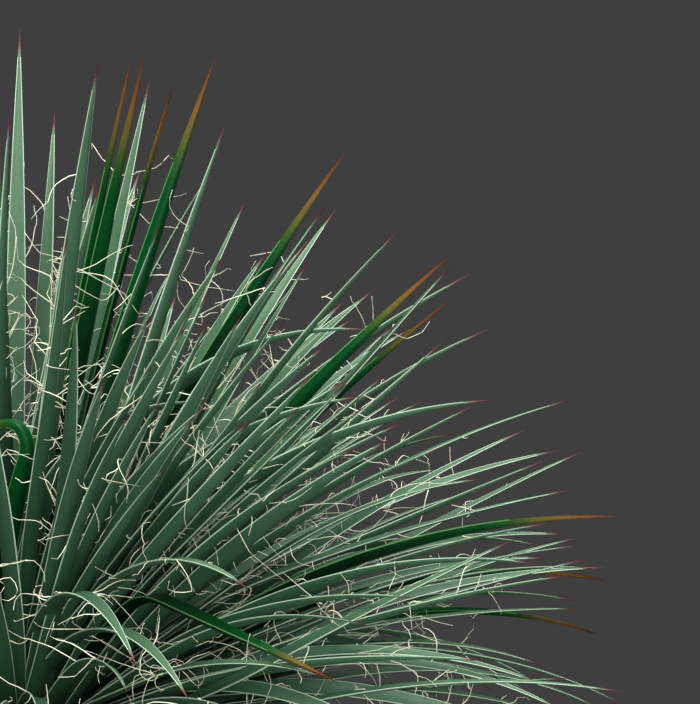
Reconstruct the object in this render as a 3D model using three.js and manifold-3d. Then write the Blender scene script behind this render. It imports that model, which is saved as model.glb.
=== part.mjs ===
import * as THREE from "three";
import { ConvexGeometry } from "three/addons/geometries/ConvexGeometry.js";
import { OBB } from "three/addons/math/OBB.js";
import { mergeVertices } from "three/addons/utils/BufferGeometryUtils.js";
import Module from "manifold-3d";

// Twin-flowered agave: a dense, half-round rosette of narrow arching leaves on a short stout stem.
// Millimetres, +Z up. The origin is the middle of the flat cut under the stem, at ground level.
// -Y is the front of the plant and +X its right-hand side seen from there.

// Stem: a root flare at the ground, a slight neck and a rounded leaf-bearing dome.
const FLARE_RADIUS = 72;
const FLARE_TOP_RADIUS = 68;
const FLARE_HEIGHT = 10;
const NECK_RADIUS = 60;
const NECK_HEIGHT = 30;
const DOME_RADIUS = 66;
const DOME_CENTRE_HEIGHT = 78;
const DOME_LOWEST_LIFT = -24;
const STEM_SIDES = 32;
const DOME_RINGS = 9;

// Leaves: how many places the spiral has, and the size of a full-grown leaf.
const LEAF_PLACES = 360;
const LOWEST_LIFT = -6;
const LEAF_LENGTH = 434;
const LEAF_WIDTH = 15.5;
const LEAF_THICKNESS = 4.8;
const ROOT_WIDTH = 3.4;
const ROOT_THICKNESS = 2.8;
const ROOT_SHARE = 0.2;
const TAPER_SHARE = 0.5;
const TAPER_POWER = 1.15;
const SPINE_SHARE = 0.962;
const SPINE_WIDTH = 2.6;
const THINNING_POWER = 0.6;
const STOUTEST = 0.9;
const MARGIN_RISE = 0.3;

// Habit: how far a leaf bends over from root to tip, from the top of the rosette to its lowest row.
const TOP_TURN = 5;
const LOW_TURN = 34;
const TURN_SPREAD = [0, 1.8];
const TIER_TURN_POWER = 0.6;
const TURN_POWER = 1.5;
const RISE_SHARE = 0.42;
const FOLD_LENGTH = 0.18;
const LENGTH_SPREAD = [0.8, 1.02];
const WIDTH_SPREAD = [0.84, 1.04];
const LIFT_WANDER = 14;
const AZIMUTH_WANDER = 11;
const LOOSE_SHARE = 0.5;
const SWEEP = 16;
const ROLL = 50;
const HABIT_SEED = 6203;
const TRIES = 30;

// Front: on this side the leaves above the lowest rows are straighter, and drawn up part of the way
// to a steep tilt.
const FRONT_AZIMUTH = -70;
const FRONT_SPREAD = 60;
const FRONT_LIFTS = [10, 22];
const FRONT_TILT = 66;
const FRONT_DRAWN_UP = 0.6;
const FRONT_STRAIGHTENING = 0.6;

// Clear space kept around each leaf and above the ground, and the measuring steps along a midrib.
const ROOT_CLEAR = 0.3;
const LEAF_CLEAR = 0.8;
const GROUND_CLEAR = 6;
const MIDRIB_STEPS = 32;
const STEPS_PER_BOX = 2;
const SET_LEAF_SPACE = 6.2;

// Leaf rosette tiers by the lift of the leaf roots, each cut into equal sectors around the stem.
const TIERS = [
  { name: "heart", low: 70, sectors: 1 },
  { name: "crown", low: 54, sectors: 8 },
  { name: "upper", low: 38, sectors: 10 },
  { name: "middle", low: 23, sectors: 12 },
  { name: "lower", low: 9, sectors: 13 },
  { name: "skirt", low: -8, sectors: 13 },
];
const SHEATH_TOP = 7;
const SHEATH_GRIP = 3.4;
const SHEATH_GAP = 0.6;
const STEM_GAP = 0.3;
const ROOT_SUNK = 4;
const STUB_CLEAR = 0.5;
const STUB_LENGTH = 32;
const STUB_SUNK = 8;
const STRAIGHT_STATIONS = 4;
const ARCHED_STATIONS = 6;
const FOLDED_STATIONS = 11;
const ARCHED_TURN = 10;
const BEND_WEIGHT = 0.9;

// Leaves with a set place: root azimuth and lift, rise above that lift at the root, turn, fold place,
// sweep, roll and length share.
// A fold place above 0 is the share of the length at which the leaf breaks over sharply.
const SET_LEAVES = [
  [-55, 68, 2, 5, 0, 0, 0, 1.12],
  [-8, 79, 2, 5, 0, 0, 0, 1.03],
  [15, 75, 2, 5, 0, 0, 0, 1],
  [-12, 72, 2, 5, 0, 0, -55, 1.08],
  [-15, 59, 3, 8, 0, 0, -50, 1.03],
  [-15, 47, 3, 8, 0, 0, -50, 1],
  [15, 42, 4, 10, 0, 0, -30, 0.93],
  [-11, 20, 14, 34, 0, 0, -30, 1],
  [20, 8, 16, 40, 0, 0, -20, 1.03],
  [23, 0, 20, 44, 0, 0, 0, 1.04],
  [-54, 28, 10, 43, 0.4, 0, 0, 0.92],
  [-91, 27, 42, -134, 0.75, 76, -46, 0.69],
  [91, 75, 2, 4, 0, 0, 0, 1.1],
  [-68, 64, 2, 4, 0, 0, 0, 1.15],
  [-34, 66, 8, 80, 0, 32, -40, 0.91],
  [-76, 51, 23, 75, 0, 55, -30, 0.77],
  [-50, 45, 12, 48, 0, 30, -35, 0.88],
  [-38, 47, 0, 40, 0, 15, -35, 1.03],
  [-73, 41, 1, 73, 0, 6, 0, 0.8],
  [-66, 33, 3, 65, 0, 3, 0, 0.76],
  [-62, 37, 4, 52, 0, 0, 0, 0.92],
];

const GOLDEN_ANGLE = 180 * (3 - Math.sqrt(5));
const DRAW_STEP = 0x6d2b79f5;
const MERGE_DISTANCE = 1e-4;
const wasm = await Module();
wasm.setup();

// A repeatable stream of draws, each between the two limits it is asked for.
function drawStream(seed) {
  let state = seed >>> 0;
  return (low, high) => {
    state = (state + DRAW_STEP) >>> 0;
    let mixed = Math.imul(state ^ (state >>> 15), state | 1);
    mixed ^= mixed + Math.imul(mixed ^ (mixed >>> 7), mixed | 61);
    return low + ((high - low) * ((mixed ^ (mixed >>> 14)) >>> 0)) / 2 ** 32;
  };
}

const radians = THREE.MathUtils.degToRad;
const smooth = (share) => THREE.MathUtils.smoothstep(share, 0, 1);

function direction(azimuth, lift) {
  const flat = Math.cos(radians(lift));
  return new THREE.Vector3(
    flat * Math.cos(radians(azimuth)),
    flat * Math.sin(radians(azimuth)),
    Math.sin(radians(lift)),
  );
}

// Share of the whole turn that a leaf has made at a share of its length.
function turnMade(share, fold) {
  if (fold > 0) {
    return smooth((share - fold) / FOLD_LENGTH + 0.5);
  }
  return share ** TURN_POWER;
}

// Blade width: narrow at the root, full through the middle, a long taper and a fine terminal spine.
function bladeWidth(share, fullWidth) {
  if (share < ROOT_SHARE) {
    return ROOT_WIDTH + (fullWidth - ROOT_WIDTH) * smooth(share / ROOT_SHARE);
  }
  if (share < TAPER_SHARE) {
    return fullWidth;
  }
  if (share < SPINE_SHARE) {
    const run = (share - TAPER_SHARE) / (SPINE_SHARE - TAPER_SHARE);
    return fullWidth + (SPINE_WIDTH - fullWidth) * run ** TAPER_POWER;
  }
  return SPINE_WIDTH * (1 - (share - SPINE_SHARE) / (1 - SPINE_SHARE));
}

function bladeThickness(share, width) {
  const root = Math.max(0, 1 - share / ROOT_SHARE);
  const full = LEAF_THICKNESS * Math.min(1, width / LEAF_WIDTH) ** THINNING_POWER;
  return Math.min(full + (ROOT_THICKNESS - full) * root, width * STOUTEST);
}

// Midrib of a leaf in equal steps, with the blade's frame, width and thickness at each.
function midrib(leaf) {
  const point = direction(leaf.rootAzimuth, leaf.rootLift).multiplyScalar(DOME_RADIUS + ROOT_SUNK);
  point.z += DOME_CENTRE_HEIGHT;
  const steps = [];
  for (let step = 0; step <= MIDRIB_STEPS; step += 1) {
    const share = step / MIDRIB_STEPS;
    const made = turnMade(share, leaf.fold);
    const loose = smooth(share / LOOSE_SHARE);
    const tilt = leaf.rootLift + leaf.rise + leaf.strayLift * loose - leaf.turn * made;
    const heading = leaf.rootAzimuth + leaf.strayAzimuth * loose + leaf.sweep * share;
    const along = direction(heading, tilt);
    const flat = new THREE.Vector3(-Math.sin(radians(heading)), Math.cos(radians(heading)), 0);
    const across = flat.applyAxisAngle(along, radians(leaf.roll) * loose);
    const face = new THREE.Vector3().crossVectors(along, across);
    const width = bladeWidth(share, leaf.width);
    const thickness = bladeThickness(share, width);
    steps.push({ share, tilt, point: point.clone(), along, across, face, width, thickness });
    point.addScaledVector(along, leaf.length / MIDRIB_STEPS);
  }
  return steps;
}

// Boxes that stand for a blade when its clear space is measured.
function clearBoxes(steps) {
  const boxes = [];
  for (let first = 0; first + STEPS_PER_BOX <= MIDRIB_STEPS; first += STEPS_PER_BOX) {
    const start = steps[first];
    const middle = steps[first + STEPS_PER_BOX / 2];
    const end = steps[first + STEPS_PER_BOX];
    const span = new THREE.Vector3().subVectors(end.point, start.point);
    const reach = span.length() / 2;
    const along = span.normalize();
    const face = new THREE.Vector3().crossVectors(along, middle.across).normalize();
    const across = new THREE.Vector3().crossVectors(face, along);
    const width = Math.max(start.width, end.width);
    const thickness = Math.max(start.thickness, end.thickness);
    const centre = new THREE.Vector3().addVectors(start.point, end.point).multiplyScalar(0.5);
    centre.addScaledVector(face, (MARGIN_RISE - 0.5) * thickness);
    const clear = ROOT_CLEAR + (LEAF_CLEAR - ROOT_CLEAR) * smooth(middle.share / LOOSE_SHARE);
    const half = new THREE.Vector3(reach, width / 2 + clear, thickness / 2 + clear);
    const basis = new THREE.Matrix4().makeBasis(along, across, face);
    const box = new OBB(centre, half, new THREE.Matrix3().setFromMatrix4(basis));
    boxes.push({ centre, radius: half.length(), box });
  }
  return boxes;
}

function touches(boxes, others) {
  return boxes.some((own) => others.some((other) => {
    const near = own.radius + other.radius;
    return own.centre.distanceToSquared(other.centre) < near * near && own.box.intersectsOBB(other.box);
  }));
}

// Leaf habits: the set leaves first, then the spiral, where a place too near a set leaf stays empty.
function setLeaf(row) {
  const [azimuth, lift, rise, turn, fold, sweep, roll, lengthShare] = row;
  return {
    rootAzimuth: azimuth,
    rootLift: lift,
    strayLift: 0,
    strayAzimuth: 0,
    rise,
    turn,
    fold,
    sweep,
    roll,
    length: LEAF_LENGTH * lengthShare,
    width: LEAF_WIDTH,
  };
}

// Share of the front's habit that a leaf takes: full in the middle of the front, none at its sides.
function frontShare(azimuth, lift) {
  const aside = THREE.MathUtils.euclideanModulo(azimuth - FRONT_AZIMUTH + 180, 360) - 180;
  const [none, full] = FRONT_LIFTS;
  const inward = 2 * (1 - Math.abs(aside) / FRONT_SPREAD);
  return smooth(inward) * smooth((lift - none) / (full - none));
}

function spiralLeaf(place, draw, freedom) {
  const low = Math.sin(radians(LOWEST_LIFT));
  const height = 1 - ((place + 0.5) / LEAF_PLACES) * (1 - low);
  const rootLift = THREE.MathUtils.radToDeg(Math.asin(height));
  const rootAzimuth = (place * GOLDEN_ANGLE) % 360;
  const tierTurn = TOP_TURN + (LOW_TURN - TOP_TURN) * (1 - height) ** TIER_TURN_POWER;
  const front = frontShare(rootAzimuth, rootLift);
  const usualTurn = tierTurn * (1 - FRONT_STRAIGHTENING * front);
  const usualRise = RISE_SHARE * tierTurn;
  const drawnUp = FRONT_DRAWN_UP * Math.max(0, FRONT_TILT - rootLift - usualRise);
  const spread = (limit) => draw(-limit, limit) * freedom;
  return {
    rootAzimuth,
    rootLift,
    strayLift: spread(LIFT_WANDER),
    strayAzimuth: spread(AZIMUTH_WANDER),
    rise: usualRise + drawnUp * front,
    turn: usualTurn * (1 + (draw(...TURN_SPREAD) - 1) * freedom),
    fold: 0,
    sweep: spread(SWEEP),
    roll: spread(ROLL),
    length: LEAF_LENGTH * draw(...LENGTH_SPREAD),
    width: LEAF_WIDTH * draw(...WIDTH_SPREAD),
  };
}

function growLeaves() {
  const grown = [];
  const taken = [];
  const accept = (leaf) => {
    const steps = midrib(leaf);
    if (steps.some((step) => step.point.z - step.width / 2 < GROUND_CLEAR)) {
      return false;
    }
    const boxes = clearBoxes(steps);
    if (touches(boxes, taken)) {
      return false;
    }
    taken.push(...boxes);
    grown.push({ leaf, steps });
    return true;
  };
  SET_LEAVES.forEach((row) => accept(setLeaf(row)));
  const setRoots = grown.map(({ leaf }) => direction(leaf.rootAzimuth, leaf.rootLift));
  for (let place = 0; place < LEAF_PLACES; place += 1) {
    const draw = drawStream(HABIT_SEED + place);
    const first = spiralLeaf(place, drawStream(HABIT_SEED + place), 0);
    const root = direction(first.rootAzimuth, first.rootLift);
    const crowded = setRoots.some((other) => root.angleTo(other) < radians(SET_LEAF_SPACE));
    for (let attempt = 0; attempt < TRIES && !crowded; attempt += 1) {
      if (accept(spiralLeaf(place, draw, 1 - attempt / TRIES))) {
        break;
      }
    }
  }
  return grown;
}

// Stations of a blade, chosen from its midrib steps and closer together where it bends.
function bladeStations(steps, count) {
  const run = [0];
  for (let step = 1; step <= MIDRIB_STEPS; step += 1) {
    const bend = radians(Math.abs(steps[step].tilt - steps[step - 1].tilt));
    run.push(run[step - 1] + 1 / MIDRIB_STEPS + BEND_WEIGHT * bend);
  }
  const chosen = [0];
  for (let station = 1; station < count; station += 1) {
    const target = (run[MIDRIB_STEPS] * station) / count;
    const nearest = run.findIndex((value) => value >= target);
    chosen.push(Math.min(Math.max(nearest, chosen[station - 1] + 1), MIDRIB_STEPS - count + station));
  }
  return chosen.map((step) => steps[step]);
}

// Closed three-cornered blade: two margins above, a keel below and a point at the tip.
function bladeGeometry({ leaf, steps }) {
  const arched = leaf.turn > ARCHED_TURN ? ARCHED_STATIONS : STRAIGHT_STATIONS;
  const stations = bladeStations(steps, leaf.fold > 0 ? FOLDED_STATIONS : arched);
  const corners = [];
  stations.forEach(({ point, across, face, width, thickness }) => {
    const top = point.clone().addScaledVector(face, MARGIN_RISE * thickness);
    corners.push(top.clone().addScaledVector(across, width / 2));
    corners.push(top.clone().addScaledVector(across, -width / 2));
    corners.push(point.clone().addScaledVector(face, (MARGIN_RISE - 1) * thickness));
  });
  const tip = corners.push(steps[MIDRIB_STEPS].point.clone()) - 1;
  const faces = [0, 2, 1];
  for (let station = 0; station < stations.length; station += 1) {
    const last = station === stations.length - 1;
    for (let side = 0; side < 3; side += 1) {
      const here = station * 3 + side;
      const next = station * 3 + ((side + 1) % 3);
      if (last) {
        faces.push(here, next, tip);
      } else {
        faces.push(here, next, next + 3, here, next + 3, here + 3);
      }
    }
  }
  return new THREE.BufferGeometry().setFromPoints(corners).setIndex(faces);
}

// Joining and cutting.
function toSolid(geometry) {
  const bare = geometry.clone();
  bare.deleteAttribute("normal");
  bare.deleteAttribute("uv");
  const merged = mergeVertices(bare, MERGE_DISTANCE);
  const index = Array.from(merged.index.array);
  const triVerts = [];
  for (let corner = 0; corner < index.length; corner += 3) {
    const [a, b, c] = index.slice(corner, corner + 3);
    if (a !== b && b !== c && c !== a) {
      triVerts.push(a, b, c);
    }
  }
  return new wasm.Manifold(new wasm.Mesh({
    numProp: 3,
    vertProperties: new Float32Array(merged.attributes.position.array),
    triVerts: new Uint32Array(triVerts),
  }));
}

function toGeometry(solid) {
  const mesh = solid.getMesh();
  const geometry = new THREE.BufferGeometry();
  geometry.setAttribute("position", new THREE.BufferAttribute(new Float32Array(mesh.vertProperties), 3));
  geometry.setIndex(Array.from(mesh.triVerts));
  geometry.computeVertexNormals();
  return geometry;
}

const joinAll = (solids) => solids.reduce((whole, solid) => whole.add(solid));

// Stem, turned about the upright axis.
function stemGeometry() {
  const outline = [new THREE.Vector2(0, 0)];
  outline.push(new THREE.Vector2(FLARE_RADIUS, 0));
  outline.push(new THREE.Vector2(FLARE_TOP_RADIUS, FLARE_HEIGHT));
  outline.push(new THREE.Vector2(NECK_RADIUS, NECK_HEIGHT));
  for (let ring = 0; ring < DOME_RINGS; ring += 1) {
    const lift = DOME_LOWEST_LIFT + ((90 - DOME_LOWEST_LIFT) * ring) / DOME_RINGS;
    const spot = direction(0, lift).multiplyScalar(DOME_RADIUS);
    outline.push(new THREE.Vector2(spot.x, DOME_CENTRE_HEIGHT + spot.z));
  }
  outline.push(new THREE.Vector2(0, DOME_CENTRE_HEIGHT + DOME_RADIUS));
  return new THREE.LatheGeometry(outline, STEM_SIDES).rotateX(Math.PI / 2);
}

// Sheath of clasping leaf bases: a flat-topped hull around the roots of a group of leaves.
function sheathGeometry(own, grip, top) {
  const centre = new THREE.Vector3(0, 0, DOME_CENTRE_HEIGHT);
  const outward = new THREE.Vector3();
  own.forEach(({ steps }) => outward.add(steps[0].point).sub(centre));
  outward.normalize();
  const corners = [];
  for (const level of [DOME_RADIUS + STEM_GAP, DOME_RADIUS + top]) {
    const spots = own.map(({ steps: [{ point, along }] }) => {
      const gap = level - point.clone().sub(centre).dot(outward);
      return point.clone().addScaledVector(along, gap / along.dot(outward));
    });
    const middle = new THREE.Vector3();
    spots.forEach((spot) => middle.addScaledVector(spot, 1 / spots.length));
    spots.forEach((spot) => {
      const aside = spot.clone().sub(middle);
      corners.push(middle.clone().add(aside.setLength(aside.length() + grip)));
    });
  }
  return new ConvexGeometry(corners);
}

// Room that a leaf's root needs in a neighbouring sheath.
function rootStub({ steps }) {
  const { point, along, across, face, width, thickness } = steps[0];
  const size = [STUB_LENGTH, width + 2 * STUB_CLEAR, thickness + 2 * STUB_CLEAR];
  const stub = new THREE.BoxGeometry(...size);
  const centre = point.clone().addScaledVector(face, (MARGIN_RISE - 0.5) * thickness);
  centre.addScaledVector(along, STUB_LENGTH / 2 - STUB_SUNK);
  return stub.applyMatrix4(new THREE.Matrix4().makeBasis(along, across, face).setPosition(centre));
}

function tierOf(leaf) {
  return TIERS.findIndex((tier) => leaf.rootLift >= tier.low);
}

function sectorOf(leaf, tier) {
  const turn = THREE.MathUtils.euclideanModulo(leaf.rootAzimuth, 360);
  return Math.floor((turn / 360) * tier.sectors);
}

function groupName(tier, sector) {
  const number = String(sector + 1).padStart(2, "0");
  return tier.sectors > 1 ? `leaves_${tier.name}_${number}` : `leaves_${tier.name}`;
}

const leafMaterial = new THREE.MeshStandardMaterial({ color: 0x6b967c, roughness: 0.6, metalness: 0 });
const stemMaterial = new THREE.MeshStandardMaterial({ color: 0x6f6a4c, roughness: 0.85, metalness: 0 });

const agave = new THREE.Group();
agave.name = "twin_flowered_agave";

const stem = new THREE.Mesh(toGeometry(toSolid(stemGeometry())), stemMaterial);
stem.name = "stem";
agave.add(stem);

const leaves = growLeaves();
const finished = [];
TIERS.forEach((tier, level) => {
  const inTier = leaves.filter(({ leaf }) => tierOf(leaf) === level);
  for (let sector = 0; sector < tier.sectors; sector += 1) {
    const own = inTier.filter(({ leaf }) => sectorOf(leaf, tier) === sector);
    let sheath = toSolid(sheathGeometry(own, SHEATH_GRIP, SHEATH_TOP));
    finished.forEach((room) => {
      sheath = sheath.subtract(room);
    });
    finished.push(toSolid(sheathGeometry(own, SHEATH_GRIP + SHEATH_GAP, SHEATH_TOP + SHEATH_GAP)));
    for (const other of leaves) {
      if (!own.includes(other)) {
        sheath = sheath.subtract(toSolid(rootStub(other)));
      }
    }
    const solid = joinAll([sheath, ...own.map((leaf) => toSolid(bladeGeometry(leaf)))]);
    const mesh = new THREE.Mesh(toGeometry(solid), leafMaterial);
    mesh.name = groupName(tier, sector);
    agave.add(mesh);
  }
});

export default agave;
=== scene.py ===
"""Twin-flowered agave: fine leaves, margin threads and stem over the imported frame.

The leaf rule is the part's own, in millimetres and degrees. Meshes, camera and lights are in metres.
"""
import math
from dataclasses import dataclass

import bpy
import numpy as np
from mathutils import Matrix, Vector


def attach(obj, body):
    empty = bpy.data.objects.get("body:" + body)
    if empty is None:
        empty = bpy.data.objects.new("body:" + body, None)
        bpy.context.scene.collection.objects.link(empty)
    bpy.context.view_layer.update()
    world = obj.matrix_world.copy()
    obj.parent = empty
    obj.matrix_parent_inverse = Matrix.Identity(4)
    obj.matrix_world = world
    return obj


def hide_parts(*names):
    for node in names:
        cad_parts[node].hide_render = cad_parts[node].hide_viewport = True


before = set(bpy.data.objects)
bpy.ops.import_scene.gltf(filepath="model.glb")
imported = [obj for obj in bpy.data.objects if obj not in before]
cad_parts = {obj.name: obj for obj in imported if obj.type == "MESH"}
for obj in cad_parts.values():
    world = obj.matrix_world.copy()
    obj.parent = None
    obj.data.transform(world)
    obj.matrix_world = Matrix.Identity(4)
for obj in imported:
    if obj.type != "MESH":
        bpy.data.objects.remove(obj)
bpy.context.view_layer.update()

MM = 0.001

# Stem, as in the part.
FLARE_RADIUS = 72
FLARE_TOP_RADIUS = 68
FLARE_HEIGHT = 10
NECK_RADIUS = 60
NECK_HEIGHT = 30
DOME_RADIUS = 66
DOME_CENTRE_HEIGHT = 78
DOME_LOWEST_LIFT = -24

# Leaves, as in the part.
LEAF_PLACES = 360
LOWEST_LIFT = -6
LEAF_LENGTH = 434
LEAF_WIDTH = 15.5
LEAF_THICKNESS = 4.8
ROOT_THICKNESS = 2.8
ROOT_SHARE = 0.2
SPINE_SHARE = 0.962
THINNING_POWER = 0.6
STOUTEST = 0.9
MARGIN_RISE = 0.3
TOP_TURN = 5
LOW_TURN = 34
TURN_SPREAD = (0, 1.8)
TIER_TURN_POWER = 0.6
TURN_POWER = 1.5
RISE_SHARE = 0.42
FOLD_LENGTH = 0.18
LENGTH_SPREAD = (0.8, 1.02)
WIDTH_SPREAD = (0.84, 1.04)
LIFT_WANDER = 14
AZIMUTH_WANDER = 11
LOOSE_SHARE = 0.5
SWEEP = 16
ROLL = 50
HABIT_SEED = 6203
TRIES = 30
FRONT_AZIMUTH = -70
FRONT_SPREAD = 60
FRONT_LIFTS = (10, 22)
FRONT_TILT = 66
FRONT_DRAWN_UP = 0.6
FRONT_STRAIGHTENING = 0.6
ROOT_CLEAR = 0.3
LEAF_CLEAR = 0.8
GROUND_CLEAR = 6
MIDRIB_STEPS = 32
STEP_SHARES = np.arange(MIDRIB_STEPS + 1) / MIDRIB_STEPS
STEPS_PER_BOX = 2
SET_LEAF_SPACE = 6.2
ROOT_SUNK = 4

# Tiers of leaf groups: name, lowest root lift and number of sectors.
TIERS = (
    ("heart", 70, 1),
    ("crown", 54, 8),
    ("upper", 38, 10),
    ("middle", 23, 12),
    ("lower", 9, 13),
    ("skirt", -8, 13),
)

# Leaves with a set place: root azimuth and lift, rise, turn, fold place, sweep, roll and length share.
# The first of them are deep green.
SET_LEAVES = (
    (-55, 68, 2, 5, 0, 0, 0, 1.12),
    (-8, 79, 2, 5, 0, 0, 0, 1.03),
    (15, 75, 2, 5, 0, 0, 0, 1),
    (-12, 72, 2, 5, 0, 0, -55, 1.08),
    (-15, 59, 3, 8, 0, 0, -50, 1.03),
    (-15, 47, 3, 8, 0, 0, -50, 1),
    (15, 42, 4, 10, 0, 0, -30, 0.93),
    (-11, 20, 14, 34, 0, 0, -30, 1),
    (20, 8, 16, 40, 0, 0, -20, 1.03),
    (23, 0, 20, 44, 0, 0, 0, 1.04),
    (-54, 28, 10, 43, 0.4, 0, 0, 0.92),
    (-91, 27, 42, -134, 0.75, 76, -46, 0.69),
    (91, 75, 2, 4, 0, 0, 0, 1.1),
    (-68, 64, 2, 4, 0, 0, 0, 1.15),
    (-34, 66, 8, 80, 0, 32, -40, 0.91),
    (-76, 51, 23, 75, 0, 55, -30, 0.77),
    (-50, 45, 12, 48, 0, 30, -35, 0.88),
    (-38, 47, 0, 40, 0, 15, -35, 1.03),
    (-73, 41, 1, 73, 0, 6, 0, 0.8),
    (-66, 33, 3, 65, 0, 3, 0, 0.76),
    (-62, 37, 4, 52, 0, 0, 0, 0.92),
)
DEEP_GREEN_SET = 12
DEEP_GREEN_SHARE = 0.1
COLOUR_SEED = 815

# Finer growth: leaves of the same rule at places between the spiral's own, low down all around and
# higher on the front. The first boxes of such a leaf may meet the part's leaves.
FILLER_SEED = 9254
FILLERS_PER_PLACE = 3
FRONT_FILLER_SHARE = 0.8
FRONT_FILLER_TOP_LIFT = 44
SIDE_FILLER_TOP_LIFT = 17
SIDE_FILLER_PACE = 4
FILLER_WIDTH = 0.9
FILLER_TRIES = 14
FILLER_FREE_BOXES = 7
FRAYED_PACE = 2
HOOK_SPACE = 18
SLENDER_LIFT = 32
BROAD_FRONT = 0.4

GOLDEN_ANGLE = 180 * (3 - math.sqrt(5))
DRAW_STEP = 0x6D2B79F5
WORD = 2**32 - 1


@dataclass(frozen=True)
class Outline:
    """Width of a blade at its root and spine, and how it tapers between full width and spine."""

    root: float
    taper_share: float
    taper_power: float
    spine: float


@dataclass(frozen=True)
class Finish:
    """A leaf's skin: mean roughness, strength of its veins and share of specular sheen."""

    roughness: float
    striation: float
    sheen: float


@dataclass(frozen=True)
class Grain:
    """Noise over a surface: how often it changes along three axes, and its levels of detail."""

    scale: tuple
    detail: int


PART_OUTLINE = Outline(root=3.4, taper_share=0.5, taper_power=1.15, spine=2.6)
BROAD_OUTLINE = Outline(root=16, taper_share=0.48, taper_power=1.7, spine=1.9)
SLENDER_OUTLINE = Outline(root=12, taper_share=0.36, taper_power=1.15, spine=1.6)

# Fine leaf: stations along the blade, and the corners of its section as shares of half the width,
# of the thickness and of the margin's width, over the channelled face and back under the keel.
BODY_STATIONS = 34
GREEN_BODY_STATIONS = 48
TIP_END = 0.99
BASE_DEPTH = 9
MARGIN_WIDTH = 0.55
MARGIN_MOST = 0.42
SECTION = np.array(
    [
        (-1, 0.30, 0),
        (-1, 0.37, -1),
        (-0.5, 0.17, 0),
        (0, 0.10, 0),
        (0.5, 0.17, 0),
        (1, 0.37, 1),
        (1, 0.30, 0),
        (1, 0.12, 0.8),
        (0.62, -0.24, 0),
        (0.3, -0.38, 0),
        (0, -0.42, 0),
        (-0.3, -0.38, 0),
        (-0.62, -0.24, 0),
        (-1, 0.12, -0.8),
    ]
)
GREEN_KEEL = 2.1
# The top sides take the face tones and the other sides take the under tones, which hold painted shade.
TOP_SIDES = (1, 2, 3, 4)
MARGIN_SIDES = (0, 5, 6, 13)
SHARP_ANGLE = math.radians(48)

# Threads that fray from the margins. The frame hint is a direction that few of them run along.
THREAD_SEED = 5150
THREADS_PER_LEAF = {
    "heart": (13, 19),
    "crown": (12, 18),
    "upper": (11, 17),
    "middle": (8, 13),
    "lower": (5, 9),
    "skirt": (4, 7),
}
THREAD_FIRST = 0.28
THREAD_LAST = 0.84
THREAD_CROWDING = 0.95
THREAD_LENGTH = (10, 82)
THREAD_SHORTNESS = 1.7
THREAD_STEPS = 9
THREAD_RADIUS = 0.42
THREAD_END_RADIUS = 0.15
THREAD_SIDES = 3
THREAD_FRAME_HINT = (0.31, 0.47, 0.83)
THREAD_CURL = 12
THREAD_LEAST_CURL = 0.4
THREAD_UNEVEN = 12
THREAD_TWIST = 0.25
THREAD_KINK_CHANCE = 0.13
THREAD_KINK = (35, 95)
THREAD_SLANT = (-0.7, 1.5)
THREAD_STRAY = 0.4
THREAD_FLOOR = 1.5
THREAD_ROOT_LENGTH = 1.2
THREAD_TIP_LOSS = 0.65
TANGLE_CHANCE = 0.05
TANGLE_THREADS = 9
TANGLE_PLACE = (0.3, 0.55)
TANGLE_SPREAD = 0.03
TANGLE_CURL = 34
TANGLE_LENGTH = (25, 60)

# Colours as seen on a screen, red, green and blue from 0 to 255.
FACE_TONES = ((0, (38, 74, 50)), (0.35, (55, 91, 66)), (0.7, (76, 107, 80)), (1, (92, 118, 86)))
# The undersides' tones, mostly darker than the faces': painted shade on the side away from the light.
UNDER_SHADED_TONES = ((0, (43, 79, 51)), (0.35, (48, 85, 59)), (0.7, (64, 100, 74)), (1, (86, 115, 84)))
TONES = 14
TONE_AT_ROOT = 0.02
# Tones darken towards each blade's root: painted shade deep in the rosette.
TONE_RISE = 0.7
# Upright leaves are paler: partly their own colour, partly painted shade on the low leaves.
TONE_LIFT = 0.06
TONE_PLAY = 0.06
GLAUCOUS_MARGIN = (178, 200, 174)
GLAUCOUS_TIP = (
    (0.95, (98, 128, 100)),
    (0.965, (102, 84, 76)),
    (0.975, (98, 38, 50)),
    (1, (70, 22, 32)),
)
GLAUCOUS_BANDS = 8
GLAUCOUS_MARGIN_END = 0.95
# Deep green tones are near black at the root and darker underneath: painted shade deep in the rosette
# and on the shaded flanks.
GREEN_FACE_TONES = ((0, (0, 24, 4)), (0.34, (0, 42, 12)), (0.56, (0, 62, 24)), (1, (0, 62, 24)))
GREEN_UNDER_SHADED_TONES = ((0, (0, 12, 2)), (0.38, (0, 30, 8)), (0.56, (0, 62, 24)), (1, (0, 62, 24)))
GREEN_TONES = 28
# The deep green margin is partly the leaf's own pale edge and partly a painted highlight of the lit
# upper edge.
GREEN_MARGIN_AND_HIGHLIGHT = (74, 126, 70)
DEEP_GREEN_TIP = (
    (0.77, (0, 62, 24)),
    (0.81, (26, 70, 28)),
    (0.86, (80, 80, 34)),
    (0.91, (104, 76, 34)),
    (0.96, (98, 54, 24)),
    (1, (76, 28, 20)),
)
GREEN_BANDS = 20
GREEN_MARGIN_END = 0.82
THREAD_COLOURS = ((250, 245, 218), (238, 240, 214), (244, 228, 198))
THREAD_SHARES = (0.6, 0.3, 0.1)
BARK_DARK = (74, 62, 46)
BARK_PALE = (140, 124, 96)
FLOOR_COLOUR = (206, 205, 200)
BACKDROP = (63, 63, 63)

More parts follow.
